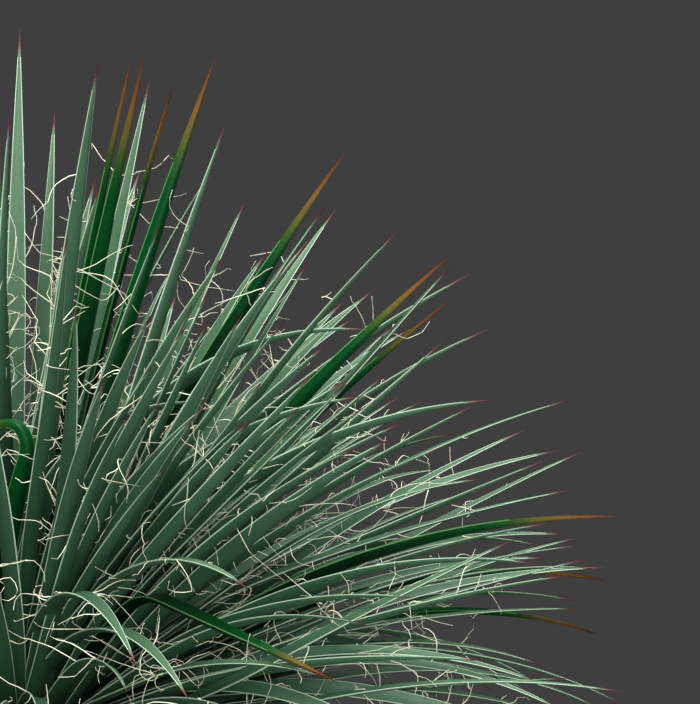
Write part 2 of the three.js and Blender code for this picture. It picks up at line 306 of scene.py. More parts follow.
# Finishes of the leaves and threads, and how far the bloom takes the roughness either way.
FACE_FINISH = Finish(roughness=0.5, striation=0.25, sheen=0.3)
UNDER_FINISH = Finish(roughness=0.55, striation=0.25, sheen=0.3)
MARGIN_FINISH = Finish(roughness=0.55, striation=0.1, sheen=0.3)
TIP_FINISH = Finish(roughness=0.45, striation=0.1, sheen=0.3)
GREEN_FACE_FINISH = Finish(roughness=0.36, striation=0.25, sheen=0.1)
GREEN_UNDER_FINISH = Finish(roughness=0.4, striation=0.25, sheen=0.1)
GREEN_MARGIN_FINISH = Finish(roughness=0.45, striation=0.1, sheen=0.3)
GREEN_TIP_FINISH = Finish(roughness=0.4, striation=0.1, sheen=0.1)
THREAD_FINISH = Finish(roughness=0.6, striation=0.05, sheen=0.3)
BLOOM_PLAY = (-0.1, 0.12)

# Grains of the surfaces. Depths of relief are in metres, as the shader takes them.
BLOOM = Grain(scale=(70, 70, 70), detail=3)
VEINS = Grain(scale=(1300, 26, 1), detail=2)
VEIN_DEPTH = 0.0004
BARK_PATCHES = Grain(scale=(90, 90, 45), detail=5)
BARK_FIBRES = Grain(scale=(700, 700, 120), detail=3)
BARK_ROUGHNESS = (0.7, 0.95)
BARK_BUMP = 0.5
FLOOR_GRAIN = Grain(scale=(40, 40, 40), detail=4)
FLOOR_ROUGHNESS = (0.8, 0.95)
FLOOR_BUMP = 0.05
COARSE_DEPTH = 0.001

# Stem mesh: steps around and up, and the relief of the scars that shed leaves left in two spirals.
STEM_AROUND = 144
STEM_UP = 80
DOME_STEPS = 40
SCAR_RELIEF = 2.2
SCAR_SPIRALS = (13, 8)
SCAR_PITCH = 0.16
FLOOR_RADIUS = 390
FLOOR_SIDES = 96

# Camera at the photograph's viewing angle, in metres and in pixels of the photograph: the rosette's
# middle lies below the frame's left corner.
CAMERA_ELEVATION = math.radians(7)
CAMERA_DISTANCE = 2.2
FRAME_WIDTH = 700
FRAME_HEIGHT = 704
PIXEL = 0.77 * MM
ROSETTE_PIXEL = (12, 722)
SENSOR = 36

# Studio lights, all turned to one spot: name, place and width in metres, and power in watts.
LIT_SPOT = (0.1, 0, 0.25)
LIGHTS = (
    ("key", (-0.7, -1.5, 4.0), 1.7, 246),
    ("top", (0.2, 0.7, 2.1), 1.2, 20),
    ("fill", (0.3, -2.3, 0.7), 2.4, 68),
)


@dataclass
class Leaf:
    """Habit of one leaf, in degrees and millimetres."""

    root_azimuth: float
    root_lift: float
    stray_lift: float
    stray_azimuth: float
    rise: float
    turn: float
    fold: float
    sweep: float
    roll: float
    length: float
    width: float
    outline: Outline
    deep_green: bool
    frayed: bool = True


@dataclass
class Skin:
    """Materials of one kind of leaf, with the stations, margin's end and section of its blade."""

    tops: list
    unders: list
    margin: object
    margin_end: float
    bands: list
    stations: np.ndarray
    section: np.ndarray


def draw_stream(seed):
    """A repeatable stream of draws, each between the two limits it is asked for."""
    state = seed & WORD

    def draw(low, high):
        nonlocal state
        state = (state + DRAW_STEP) & WORD
        mixed = ((state ^ (state >> 15)) * (state | 1)) & WORD
        mixed ^= (mixed + (mixed ^ (mixed >> 7)) * (mixed | 61)) & WORD
        return low + ((high - low) * (mixed ^ (mixed >> 14))) / (WORD + 1)

    return draw


def smooth(share):
    """A soft step from 0 to 1."""
    share = np.clip(share, 0, 1)
    return share * share * (3 - 2 * share)


def direction(azimuth, lift):
    """Unit vectors at angles around the stem and above the ground."""
    azimuth, lift = np.radians(azimuth), np.radians(lift)
    flat = np.cos(lift)
    parts = np.broadcast_arrays(flat * np.cos(azimuth), flat * np.sin(azimuth), np.sin(lift))
    return np.stack(parts, -1)


def unit(vectors):
    """Vectors scaled to a length of 1."""
    return vectors / np.linalg.norm(vectors, axis=-1, keepdims=True)


def turn_made(share, fold):
    """Share of the whole turn that a leaf has made at a share of its length."""
    if fold > 0:
        return smooth((share - fold) / FOLD_LENGTH + 0.5)
    return share**TURN_POWER


def blade_width(share, full, outline):
    """Narrow at the root, full through the middle, a long taper and a fine terminal spine."""
    widening = outline.root + (full - outline.root) * smooth(share / ROOT_SHARE)
    run = np.clip((share - outline.taper_share) / (SPINE_SHARE - outline.taper_share), 0, 1)
    taper = full + (outline.spine - full) * run**outline.taper_power
    spine = outline.spine * (1 - (share - SPINE_SHARE) / (1 - SPINE_SHARE))
    beyond_root = np.where(share < SPINE_SHARE, taper, spine)
    return np.where(share < ROOT_SHARE, widening, beyond_root)


def blade_thickness(share, width):
    """Thickness of a blade, thinner at its root and where it is narrow."""
    root = np.maximum(0, 1 - share / ROOT_SHARE)
    full = LEAF_THICKNESS * np.minimum(1, width / LEAF_WIDTH) ** THINNING_POWER
    return np.minimum(full + (ROOT_THICKNESS - full) * root, width * STOUTEST)


def blade_frame(leaf, share):
    """Directions along the blade, across it and out of its face at shares of its length."""
    loose = smooth(share / LOOSE_SHARE)
    made = turn_made(share, leaf.fold)
    tilt = leaf.root_lift + leaf.rise + leaf.stray_lift * loose - leaf.turn * made
    heading = leaf.root_azimuth + leaf.stray_azimuth * loose + leaf.sweep * share
    along = direction(heading, tilt)
    flat = direction(heading + 90, np.zeros_like(heading))
    roll = np.radians(leaf.roll * loose)[:, None]
    across = flat * np.cos(roll) + np.cross(along, flat) * np.sin(roll)
    return along, across, np.cross(along, across)


def midrib(leaf):
    """Points of a leaf's midrib in equal steps, and the direction across the blade at each."""
    along, across, _ = blade_frame(leaf, STEP_SHARES)
    start = direction(leaf.root_azimuth, leaf.root_lift) * (DOME_RADIUS + ROOT_SUNK)
    start = start + np.array([0, 0, DOME_CENTRE_HEIGHT])
    points = np.empty((MIDRIB_STEPS + 1, 3))
    points[0] = start
    points[1:] = start + np.cumsum(along[:-1] * leaf.length / MIDRIB_STEPS, 0)
    return points, across


def clear_boxes(leaf, points, across):
    """Boxes that stand for a blade when its clear space is measured: centres, half sizes, axes."""
    width = blade_width(STEP_SHARES, leaf.width, PART_OUTLINE)
    thickness = blade_thickness(STEP_SHARES, width)
    first = np.arange(0, MIDRIB_STEPS, STEPS_PER_BOX)
    last, middle = first + STEPS_PER_BOX, first + STEPS_PER_BOX // 2
    span = points[last] - points[first]
    reach = np.linalg.norm(span, axis=1) / 2
    along = unit(span)
    face = unit(np.cross(along, across[middle]))
    side = np.cross(face, along)
    wide = np.maximum(width[first], width[last])
    thick = np.maximum(thickness[first], thickness[last])
    centre = (points[first] + points[last]) / 2 + face * ((MARGIN_RISE - 0.5) * thick)[:, None]
    clear = ROOT_CLEAR + (LEAF_CLEAR - ROOT_CLEAR) * smooth(STEP_SHARES[middle] / LOOSE_SHARE)
    half = np.stack([reach, wide / 2 + clear, thick / 2 + clear], 1)
    return centre, half, np.stack([along, side, face], 1)


def boxes_meet(one, other):
    """True for each pair of oriented boxes that no separating axis parts."""
    centre, half, axes = one
    other_centre, other_half, other_axes = other
    turn = np.einsum("nik,njk->nij", axes, other_axes)
    shift = np.einsum("nik,nk->ni", axes, other_centre - centre)
    size = np.abs(turn) + np.finfo(float).eps
    apart = np.abs(shift) > half + np.einsum("nij,nj->ni", size, other_half)
    parted = apart.any(1)
    along = np.abs(np.einsum("ni,nij->nj", shift, turn))
    parted |= (along > np.einsum("ni,nij->nj", half, size) + other_half).any(1)
    for i in range(3):
        i1, i2 = (i + 1) % 3, (i + 2) % 3
        for j in range(3):
            j1, j2 = (j + 1) % 3, (j + 2) % 3
            own = half[:, i1] * size[:, i2, j] + half[:, i2] * size[:, i1, j]
            their = other_half[:, j1] * size[:, i, j2] + other_half[:, j2] * size[:, i, j1]
            gap = np.abs(shift[:, i2] * turn[:, i1, j] - shift[:, i1] * turn[:, i2, j])
            parted |= gap > own + their
    return ~parted


def touches(boxes, taken):
    """True if any of a leaf's boxes meets a box that is already taken."""
    if not taken:
        return False
    centre, half, axes = boxes
    centres, halves, frames = (np.concatenate(parts) for parts in zip(*taken))
    near = np.linalg.norm(half, axis=1)[:, None] + np.linalg.norm(halves, axis=1)
    gaps = np.linalg.norm(centre[:, None] - centres, axis=2)
    own, their = np.nonzero(gaps < near)
    one = centre[own], half[own], axes[own]
    return bool(boxes_meet(one, (centres[their], halves[their], frames[their])).any())


def set_leaf(row, deep_green):
    """A leaf with a set place, from its row."""
    azimuth, lift, rise, turn, fold, sweep, roll, length_share = row
    length = LEAF_LENGTH * length_share
    shape = (length, LEAF_WIDTH, BROAD_OUTLINE, deep_green)
    return Leaf(azimuth, lift, 0, 0, rise, turn, fold, sweep, roll, *shape)


def place_root(place):
    """Azimuth and lift of the root at a place of the spiral."""
    low = math.sin(math.radians(LOWEST_LIFT))
    height = 1 - ((place + 0.5) / LEAF_PLACES) * (1 - low)
    return (place * GOLDEN_ANGLE) % 360, math.degrees(math.asin(height))


def front_share(azimuth, lift):
    """Share of the front's habit that a leaf takes: full in its middle half, none at its sides."""
    aside = (azimuth - FRONT_AZIMUTH + 180) % 360 - 180
    none, full = FRONT_LIFTS
    inward = 2 * (1 - abs(aside) / FRONT_SPREAD)
    return smooth(inward) * smooth((lift - none) / (full - none))


def spiral_leaf(place, draw, freedom, deep_green):
    """A leaf at a place of the spiral, with as much play in its habit as its freedom allows."""
    azimuth, lift = place_root(place)
    depth = 1 - math.sin(math.radians(lift))
    tier_turn = TOP_TURN + (LOW_TURN - TOP_TURN) * depth**TIER_TURN_POWER
    front = front_share(azimuth, lift)
    usual_turn = tier_turn * (1 - FRONT_STRAIGHTENING * front)
    usual_rise = RISE_SHARE * tier_turn
    drawn_up = FRONT_DRAWN_UP * max(0, FRONT_TILT - lift - usual_rise)
    rise = usual_rise + drawn_up * front
    stray_lift = draw(-LIFT_WANDER, LIFT_WANDER) * freedom
    stray_azimuth = draw(-AZIMUTH_WANDER, AZIMUTH_WANDER) * freedom
    turn = usual_turn * (1 + (draw(*TURN_SPREAD) - 1) * freedom)
    sweep = draw(-SWEEP, SWEEP) * freedom
    roll = draw(-ROLL, ROLL) * freedom
    length = LEAF_LENGTH * draw(*LENGTH_SPREAD)
    width = LEAF_WIDTH * draw(*WIDTH_SPREAD)
    broad = deep_green or lift > SLENDER_LIFT or front > BROAD_FRONT
    shape = (length, width, BROAD_OUTLINE if broad else SLENDER_OUTLINE, deep_green)
    return Leaf(azimuth, lift, stray_lift, stray_azimuth, rise, turn, 0, sweep, roll, *shape)


class Rosette:
    """Leaves that have found a clear place, with the boxes they take up."""

    def __init__(self):
        self.grown = []
        self.taken = []

    def reach(self):
        """Lowest and highest corner of a box around every midrib grown so far."""
        points = np.concatenate([points for _, points in self.grown])
        return points.min(0), points.max(0)

    def accept(self, leaf, free_boxes=0, reach=None):
        """Keep a leaf in reach that clears the ground and, past its free boxes, every other leaf."""
        points, across = midrib(leaf)
        width = blade_width(STEP_SHARES, leaf.width, PART_OUTLINE)
        if (points[:, 2] - width / 2 < GROUND_CLEAR).any():
            return False
        if reach and ((points < reach[0]) | (points > reach[1])).any():
            return False
        boxes = clear_boxes(leaf, points, across)
        if touches([part[free_boxes:] for part in boxes], self.taken):
            return False
        self.taken.append(boxes)
        self.grown.append((leaf, points))
        return True


def is_deep_green(place):
    """True for a few places on the side that the set leaves do not cover."""
    far_side = math.cos(math.radians(place * GOLDEN_ANGLE)) < 0
    return far_side and draw_stream(COLOUR_SEED + place)(0, 1) < DEEP_GREEN_SHARE


def root_gap(place, leaves):
    """Angle from a place of the spiral to the nearest root of some leaves."""
    root = direction(*place_root(place))
    others = np.array([direction(leaf.root_azimuth, leaf.root_lift) for leaf in leaves])
    return math.degrees(math.acos(min(1, (others @ root).max())))


def grow_part_leaves(rosette):
    """The set leaves first, then the spiral, where a place too near a set leaf stays empty."""
    for number, row in enumerate(SET_LEAVES):
        rosette.accept(set_leaf(row, number < DEEP_GREEN_SET))
    set_leaves = [leaf for leaf, _ in rosette.grown]
    for place in range(LEAF_PLACES):
        if root_gap(place, set_leaves) < SET_LEAF_SPACE:
            continue
        draw = draw_stream(HABIT_SEED + place)
        for attempt in range(TRIES):
            leaf = spiral_leaf(place, draw, 1 - attempt / TRIES, is_deep_green(place))
            if rosette.accept(leaf):
                break


def filler_places():
    """Places between the spiral's own: a few low down all around, more of them on the front."""
    for number in range(LEAF_PLACES * FILLERS_PER_PLACE):
        place = (number + 0.5) / FILLERS_PER_PLACE
        azimuth, lift = place_root(place)
        front = front_share(azimuth, lift)
        on_front = front > FRONT_FILLER_SHARE and lift < FRONT_FILLER_TOP_LIFT
        aside = front == 0 and lift < SIDE_FILLER_TOP_LIFT and number % SIDE_FILLER_PACE == 0
        if on_front or aside:
            yield number, place


def grow_fillers(rosette):
    """Leaves of the same rule between the part's own, within their reach, half of them frayed."""
    reach = rosette.reach()
    hooks = [leaf for leaf, _ in rosette.grown if leaf.turn < 0]
    for number, place in filler_places():
        if root_gap(place, hooks) < HOOK_SPACE:
            continue
        draw = draw_stream(FILLER_SEED + number)
        for _ in range(FILLER_TRIES):
            leaf = spiral_leaf(place, draw, 1, False)
            leaf.width *= FILLER_WIDTH
            leaf.frayed = number % FRAYED_PACE == 0
            if rosette.accept(leaf, FILLER_FREE_BOXES, reach):
                break


def tier_of(leaf):
    """Number of the tier that a leaf's root lies in, from the top."""
    return next(level for level, tier in enumerate(TIERS) if leaf.root_lift >= tier[1])


def group_names(tier):
    """Names of the part's leaf groups in a tier."""
    name, _, sectors = tier
    if sectors == 1:
        return [f"leaves_{name}"]
    return [f"leaves_{name}_{number + 1:02d}" for number in range(sectors)]


def linear(colour):
    """Linear red, green, blue and full opacity from a screen colour, by the sRGB curve."""
    shares = [channel / 255 for channel in colour]
    return [c / 12.92 if c <= 0.04045 else ((c + 0.055) / 1.055) ** 2.4 for c in shares] + [1]


def new_material(name):
    """A material with its node tree and its shader."""
    material = bpy.data.materials.new(name)
    material.use_nodes = True
    tree = material.node_tree
    return material, tree, tree.nodes["Principled BSDF"]


def add_noise(tree, coordinate, grain):
    """Noise of a grain over a texture coordinate."""
    place = tree.nodes.new("ShaderNodeTexCoord")
    stretch = tree.nodes.new("ShaderNodeMapping")
    stretch.inputs["Scale"].default_value = grain.scale
    noise = tree.nodes.new("ShaderNodeTexNoise")
    noise.inputs["Scale"].default_value = 1
    noise.inputs["Detail"].default_value = grain.detail
    tree.links.new(place.outputs[coordinate], stretch.inputs["Vector"])
    tree.links.new(stretch.outputs["Vector"], noise.inputs["Vector"])
    return noise.outputs["Fac"]


def add_roughness(tree, shader, value, low, high):
    """Roughness that runs between two limits with a value from 0 to 1."""
    spread = tree.nodes.new("ShaderNodeMapRange")
    spread.inputs["To Min"].default_value = low
    spread.inputs["To Max"].default_value = high
    tree.links.new(value, spread.inputs["Value"])
    tree.links.new(spread.outputs["Result"], shader.inputs["Roughness"])


def add_bump(tree, shader, height, strength, distance):
    """Relief in the shading that follows a height."""
    bump = tree.nodes.new("ShaderNodeBump")
    bump.inputs["Strength"].default_value = strength
    bump.inputs["Distance"].default_value = distance
    tree.links.new(height, bump.inputs["Height"])
    tree.links.new(bump.outputs["Normal"], shader.inputs["Normal"])


def leaf_material(name, colour, finish):
    """Waxy leaf skin: a plain colour with a patchy bloom in its gloss and fine lengthwise veins."""
    material, tree, shader = new_material(name)
    shader.inputs["Base Color"].default_value = linear(colour)
    shader.inputs["Specular IOR Level"].default_value = finish.sheen
    bloom = add_noise(tree, "Object", BLOOM)
    smoother, rougher = BLOOM_PLAY
    add_roughness(tree, shader, bloom, finish.roughness + smoother, finish.roughness + rougher)
    veins = add_noise(tree, "UV", VEINS)
    add_bump(tree, shader, veins, finish.striation, VEIN_DEPTH)
    return material


def bark_material():
    """Fibrous brown stem skin, pale and dark in patches."""
    material, tree, shader = new_material("stem_bark")
    patches = add_noise(tree, "Object", BARK_PATCHES)
    mix = tree.nodes.new("ShaderNodeMix")
    mix.data_type = "RGBA"
    mix.inputs["A"].default_value = linear(BARK_DARK)
    mix.inputs["B"].default_value = linear(BARK_PALE)
    tree.links.new(patches, mix.inputs["Factor"])
    tree.links.new(mix.outputs["Result"], shader.inputs["Base Color"])
    add_roughness(tree, shader, patches, *BARK_ROUGHNESS)
    fibres = add_noise(tree, "Object", BARK_FIBRES)
    add_bump(tree, shader, fibres, BARK_BUMP, COARSE_DEPTH)
    return material


def floor_material():
    """Matt pale studio floor."""
    material, tree, shader = new_material("floor_pale")
    shader.inputs["Base Color"].default_value = linear(FLOOR_COLOUR)
    grain = add_noise(tree, "Object", FLOOR_GRAIN)
    add_roughness(tree, shader, grain, *FLOOR_ROUGHNESS)
    add_bump(tree, shader, grain, FLOOR_BUMP, COARSE_DEPTH)
    return material


def stop_colour(stops, place):
    """Colour at a place between colour stops."""
    places = [stop for stop, _ in stops]
    channels = np.array([colour for _, colour in stops], float).T
    return [np.interp(place, places, channel) for channel in channels]


def graded_bands(name, stops, count, finish):
    """Even bands of leaf skin between colour stops: the share where each starts, and its material."""
    edges = np.linspace(stops[0][0], stops[-1][0], count + 1)
    bands = []
    for number, (start, end) in enumerate(zip(edges, edges[1:])):
        colour = stop_colour(stops, (start + end) / 2)
        bands.append((start, leaf_material(f"{name}_{number}", colour, finish)))
    return bands


def toned_skins(name, stops, count, finish):
    """Leaf skins in even tones from the first colour stop to the last."""
    colours = [stop_colour(stops, place) for place in np.linspace(0, 1, count)]
    return [leaf_material(f"{name}_{number}", colour, finish) for number, colour in enumerate(colours)]


def tip_stations(body_count, bands):
    """Shares of a blade's length with a station at the start of each band of its tip."""
    starts = [start for start, _ in bands]
    body = np.linspace(0, starts[0], body_count, endpoint=False)
    return np.concatenate([body, starts, [TIP_END]])


def new_mesh(name, vertices, faces, materials, uv=None):
    """A smooth-shaded object from arrays: faces are (corner table, material numbers) pairs."""
    corners = np.concatenate([table.ravel() for table, _ in faces])
    sizes = np.concatenate([np.full(len(table), table.shape[1]) for table, _ in faces])
    mesh = bpy.data.meshes.new(name)
    mesh.vertices.add(len(vertices))
    mesh.vertices.foreach_set("co", (vertices * MM).astype(np.float32).ravel())
    mesh.loops.add(len(corners))
    mesh.loops.foreach_set("vertex_index", corners.astype(np.int32))
    mesh.polygons.add(len(sizes))
    mesh.polygons.foreach_set("loop_start", (np.cumsum(sizes) - sizes).astype(np.int32))
    numbers = np.concatenate([slots for _, slots in faces]).astype(np.int32)
    mesh.polygons.foreach_set("material_index", numbers)
    if uv is not None:
        layer = mesh.uv_layers.new(name="blade")
        layer.data.foreach_set("uv", (uv[corners] * MM).astype(np.float32).ravel())
    for material in materials:
        mesh.materials.append(material)
    mesh.update(calc_edges=True)
    mesh.validate()
    mesh.shade_smooth()
    piece = bpy.data.objects.new(name, mesh)
    bpy.context.collection.objects.link(piece)
    return piece


def tube_quads(rings, sides):
    """Corner table of the quads between rings of corners, ring by ring."""
    ring, side = np.meshgrid(np.arange(rings - 1), np.arange(sides), indexing="ij")
    here = (ring * sides + side).ravel()
    onward = (ring * sides + (side + 1) % sides).ravel()
    return np.stack([here, onward, onward + sides, here + sides], 1)


def between_steps(points, shares):
    """A smooth cubic curve through the midrib's points, read at shares of its length."""
    spot = shares * MIDRIB_STEPS
    here = np.minimum(spot.astype(int), MIDRIB_STEPS - 1)
    run = (spot - here)[:, None]
    before = points[np.maximum(here - 1, 0)]
    after = points[np.minimum(here + 2, MIDRIB_STEPS)]
    start, end = points[here], points[here + 1]
    return 0.5 * (
        2 * start
        + (end - before) * run
        + (2 * before - 5 * start + 4 * end - after) * run**2
        + (3 * start - before - 3 * end + after) * run**3
    )


def keeled(section, share):
    """A section with the depth of its keel changed."""
    below = section[:, 1:2] < 0
    return section * np.where(below, (1, share, 1), 1)


def blade_vertices(leaf, points, stations, section):
    """Rings of section corners along the blade, then its tip and its root's middle."""
    along, across, face = blade_frame(leaf, stations)
    centres = between_steps(points, stations)
    centres[0] -= along[0] * BASE_DEPTH
    width = blade_width(stations, leaf.width, leaf.outline)
    thickness = blade_thickness(stations, width)
    margin = np.minimum(MARGIN_WIDTH, MARGIN_MOST * width / 2)
    aside = section[:, 0] * width[:, None] / 2 - section[:, 2] * margin[:, None]
    height = section[:, 1] * thickness[:, None]
    rings = centres[:, None] + across[:, None] * aside[..., None] + face[:, None] * height[..., None]
    uv = np.stack([aside, np.broadcast_to(stations[:, None] * leaf.length, aside.shape)], -1)
    ends = np.array([points[-1], centres[0]])
    end_uv = np.array([(0, leaf.length), (0, 0)])
    return np.concatenate([rings.reshape(-1, 3), ends]), np.concatenate([uv.reshape(-1, 2), end_uv])


def blade_faces(stations):
    """Corner tables of one blade's quads and end triangles, each with its shares and section sides."""
    sides, rings = len(SECTION), len(stations)
    around = np.arange(sides)
    onward = (around + 1) % sides
    # The section's corners run the other way round than a tube's, so its quads are turned over.
    quads = tube_quads(rings, sides)[:, (0, 3, 2, 1)]
    shares = np.repeat((stations[:-1] + stations[1:]) / 2, sides)
    last = (rings - 1) * sides
    tip, root = np.full(sides, rings * sides), np.full(sides, rings * sides + 1)
    tip_fan = np.stack([last + around, tip, last + onward], 1)
    root_fan = np.stack([around, onward, root], 1)
    ends = np.concatenate([tip_fan, root_fan])
    end_shares = np.concatenate([np.ones(sides), np.zeros(sides)])
    return (quads, shares, np.tile(around, rings - 1)), (ends, end_shares, np.tile(around, 2))


def deal_slots(shares, sides, tone, skin):
    """Material numbers of one blade's faces, in the order that skin_materials gives."""
    tones = len(skin.tops)
    # Darker towards the root: painted shade deep in the rosette.
    paling = np.clip(tone + TONE_RISE * shares, 0, 1)
    slots = np.round(paling * (tones - 1)).astype(int)
    # Sides off the top take the under tones: painted shade.
    slots = np.where(np.isin(sides, TOP_SIDES), slots, tones + slots)
    for number, (start, _) in enumerate(skin.bands):
        slots = np.where(shares >= start, 2 * tones + 1 + number, slots)
    on_margin = np.isin(sides, MARGIN_SIDES) & (shares < skin.margin_end)
    return np.where(on_margin, 2 * tones, slots)


def skin_materials(skin):
    """Materials of a skin in the order of their numbers on the faces."""
    return skin.tops + skin.unders + [skin.margin] + [material for _, material in skin.bands]


def leaf_piece(name, leaves, skin):
    """One joined mesh of leaves, each dealt tones of the skin that pale towards its tip, with painted
    shade at the root and on the undersides.
    """
    tables = blade_faces(skin.stations)
    per_leaf = len(skin.stations) * len(SECTION) + 2
    vertices, uv, faces = [], [], []
    for number, (leaf, points, tone) in enumerate(leaves):
        blade, blade_uv = blade_vertices(leaf, points, skin.stations, skin.section)
        vertices.append(blade)
        uv.append(blade_uv)
        for table, shares, sides in tables:
            faces.append((table + number * per_leaf, deal_slots(shares, sides, tone, skin)))
    piece = new_mesh(name, np.concatenate(vertices), faces, skin_materials(skin), np.concatenate(uv))
    piece.data.set_sharp_from_angle(angle=SHARP_ANGLE)
    return piece


def spin(vectors, axes, angle):
    """Vectors turned about unit axes by an angle for each."""
    cosine, sine = np.cos(angle)[:, None], np.sin(angle)[:, None]
    dots = np.sum(vectors * axes, 1, keepdims=True)
    return vectors * cosine + np.cross(axes, vectors) * sine + axes * dots * (1 - cosine)


def thread_paths(rng, starts, headings, lengths, curls):
    """Curling paths of many threads at once, with a sharp kink here and there."""
    count = len(starts)
    axes = unit(rng.normal(size=(count, 3)))
    least = THREAD_LEAST_CURL * rng.choice([-1, 1], count)
    curl = (least + rng.normal(0, 1, count)) * curls
    paths = [starts]
    for _ in range(THREAD_STEPS):
        kinked = rng.random(count) < THREAD_KINK_CHANCE
        kink = rng.uniform(*THREAD_KINK, count) * rng.choice([-1, 1], count)
        bend = curl + rng.normal(0, THREAD_UNEVEN, count) + kinked * kink
        headings = spin(headings, axes, np.radians(bend))
        axes = unit(axes + rng.normal(0, THREAD_TWIST, (count, 3)))
        point = paths[-1] + headings * (lengths / THREAD_STEPS)[:, None]
        point[:, 2] = np.maximum(point[:, 2], THREAD_FLOOR)
        paths.append(point)
    return np.stack(paths, 1)


def thread_tubes(paths, slots):
    """Closed three-sided tubes along paths that all have the same number of points."""
    count, stations = paths.shape[:2]
    along = unit(np.gradient(paths, axis=1))
    hint = np.broadcast_to(unit(np.array(THREAD_FRAME_HINT)), along.shape)
    aside = unit(np.cross(along, hint))
    upward = np.cross(along, aside)
    radius = np.linspace(THREAD_RADIUS, THREAD_END_RADIUS, stations)[None, :, None, None]
    angle = np.arange(THREAD_SIDES) * 2 * math.pi / THREAD_SIDES
    ring = aside[:, :, None] * np.cos(angle)[:, None] + upward[:, :, None] * np.sin(angle)[:, None]
    vertices = (paths[:, :, None] + ring * radius).reshape(-1, 3)
    quads = tube_quads(stations, THREAD_SIDES)
    last = (stations - 1) * THREAD_SIDES
    caps = np.array([[2, 1, 0], [last, last + 1, last + 2]])
    offsets = (np.arange(count) * stations * THREAD_SIDES)[:, None, None]
    return vertices, [
        ((quads + offsets).reshape(-1, 4), np.repeat(slots, len(quads))),
        ((caps + offsets).reshape(-1, 3), np.repeat(slots, len(caps))),
    ]


def leaf_threads(rng, leaf, points, counts):
    """Starts, headings, lengths and curls of the threads on one leaf."""
    count = rng.integers(*counts)
    shares = THREAD_FIRST + (THREAD_LAST - THREAD_FIRST) * rng.random(count) ** THREAD_CROWDING
    shortest, longest = THREAD_LENGTH
    lengths = shortest + (longest - shortest) * rng.random(count) ** THREAD_SHORTNESS
    lengths *= THREAD_ROOT_LENGTH - THREAD_TIP_LOSS * shares
    curls = np.full(count, THREAD_CURL, float)
    if rng.random() < TANGLE_CHANCE:
        spot = rng.uniform(*TANGLE_PLACE)
        shares = np.concatenate([shares, spot + rng.normal(0, TANGLE_SPREAD, TANGLE_THREADS)])
        lengths = np.concatenate([lengths, rng.uniform(*TANGLE_LENGTH, TANGLE_THREADS)])
        curls = np.concatenate([curls, np.full(TANGLE_THREADS, TANGLE_CURL, float)])
    along, across, face = blade_frame(leaf, shares)
    side = rng.choice([-1.0, 1.0], len(shares))[:, None]
    width = blade_width(shares, leaf.width, leaf.outline)
    thickness = blade_thickness(shares, width)
    edge = across * side * (width / 2 - THREAD_RADIUS)[:, None]
    starts = between_steps(points, shares) + edge + face * (MARGIN_RISE * thickness)[:, None]
    slant = rng.uniform(*THREAD_SLANT, (len(shares), 1))
    stray = rng.normal(0, THREAD_STRAY, (len(shares), 3))
    return starts, unit(across * side + along * slant + stray), lengths, curls


def thread_piece(name, leaves, counts, materials, seed):
    """One joined mesh of the threads on the frayed leaves."""
    rng = np.random.default_rng(seed)
    rows = [leaf_threads(rng, leaf, points, counts) for leaf, points, _ in leaves if leaf.frayed]
    starts, headings, lengths, curls = (np.concatenate(parts) for parts in zip(*rows))
    paths = thread_paths(rng, starts, headings, lengths, curls)
    slots = rng.choice(len(materials), len(paths), p=THREAD_SHARES)
    vertices, faces = thread_tubes(paths, slots)
    return new_mesh(name, vertices, faces, materials)


def stem_outline():
    """Radius and height along the stem's side, from the ground to the top of the dome."""
    lifts = np.radians(np.linspace(DOME_LOWEST_LIFT, 90, DOME_STEPS))
    radii = [FLARE_RADIUS, FLARE_TOP_RADIUS, NECK_RADIUS, *(DOME_RADIUS * np.cos(lifts))]
    domes = DOME_CENTRE_HEIGHT + DOME_RADIUS * np.sin(lifts)
    heights = [0, FLARE_HEIGHT, NECK_HEIGHT, *domes]
    run = np.concatenate([[0], np.cumsum(np.hypot(np.diff(radii), np.diff(heights)))])
    even = np.linspace(0, run[-1], STEM_UP)
    return np.interp(even, run, radii), np.interp(even, run, heights)


def stem_piece(material):
    """The stem with the lozenge relief of old leaf scars, closed by its flat cut at the ground."""
    radius, height = stem_outline()
    angle = np.arange(STEM_AROUND) * 2 * math.pi / STEM_AROUND
    rising, falling = SCAR_SPIRALS
    climb = (SCAR_PITCH * height)[:, None]
    scars = (1 + np.cos(rising * angle + climb)) * (1 + np.cos(falling * angle - climb)) / 4
    fade = np.minimum(1, radius / NECK_RADIUS)[:, None]
    wide = radius[:, None] - SCAR_RELIEF * (1 - scars) * fade
    upright = np.broadcast_to(height[:, None], wide.shape)
    rings = np.stack([wide * np.cos(angle), wide * np.sin(angle), upright], -1)
    vertices = np.concatenate([rings.reshape(-1, 3), [(0, 0, 0)]])
    quads = tube_quads(STEM_UP, STEM_AROUND)
    around = np.arange(STEM_AROUND)
    centre = np.full(STEM_AROUND, len(vertices) - 1)
    cut = np.stack([(around + 1) % STEM_AROUND, around, centre], 1)
    faces = [(quads, np.zeros(len(quads))), (cut, np.zeros(len(cut)))]
    piece = new_mesh("agave_stem", vertices, faces, [material])
    piece.data.set_sharp_from_angle(angle=SHARP_ANGLE)
    return piece


def floor_piece(material):
    """A round floor under the plant."""
    angle = np.arange(FLOOR_SIDES) * 2 * math.pi / FLOOR_SIDES
    rim = FLOOR_RADIUS * np.stack([np.cos(angle), np.sin(angle), np.zeros(FLOOR_SIDES)], 1)
    corners = np.arange(FLOOR_SIDES)[None]
    return new_mesh("floor", rim, [(corners, np.zeros(1))], [material])


def dress(piece, slot, *nodes):
    """Let a piece ride on the plant and stand for nodes of the part, which it hides; the slot is not
    used.
    """
    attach(piece, "root")
    if nodes:
        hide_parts(*nodes)


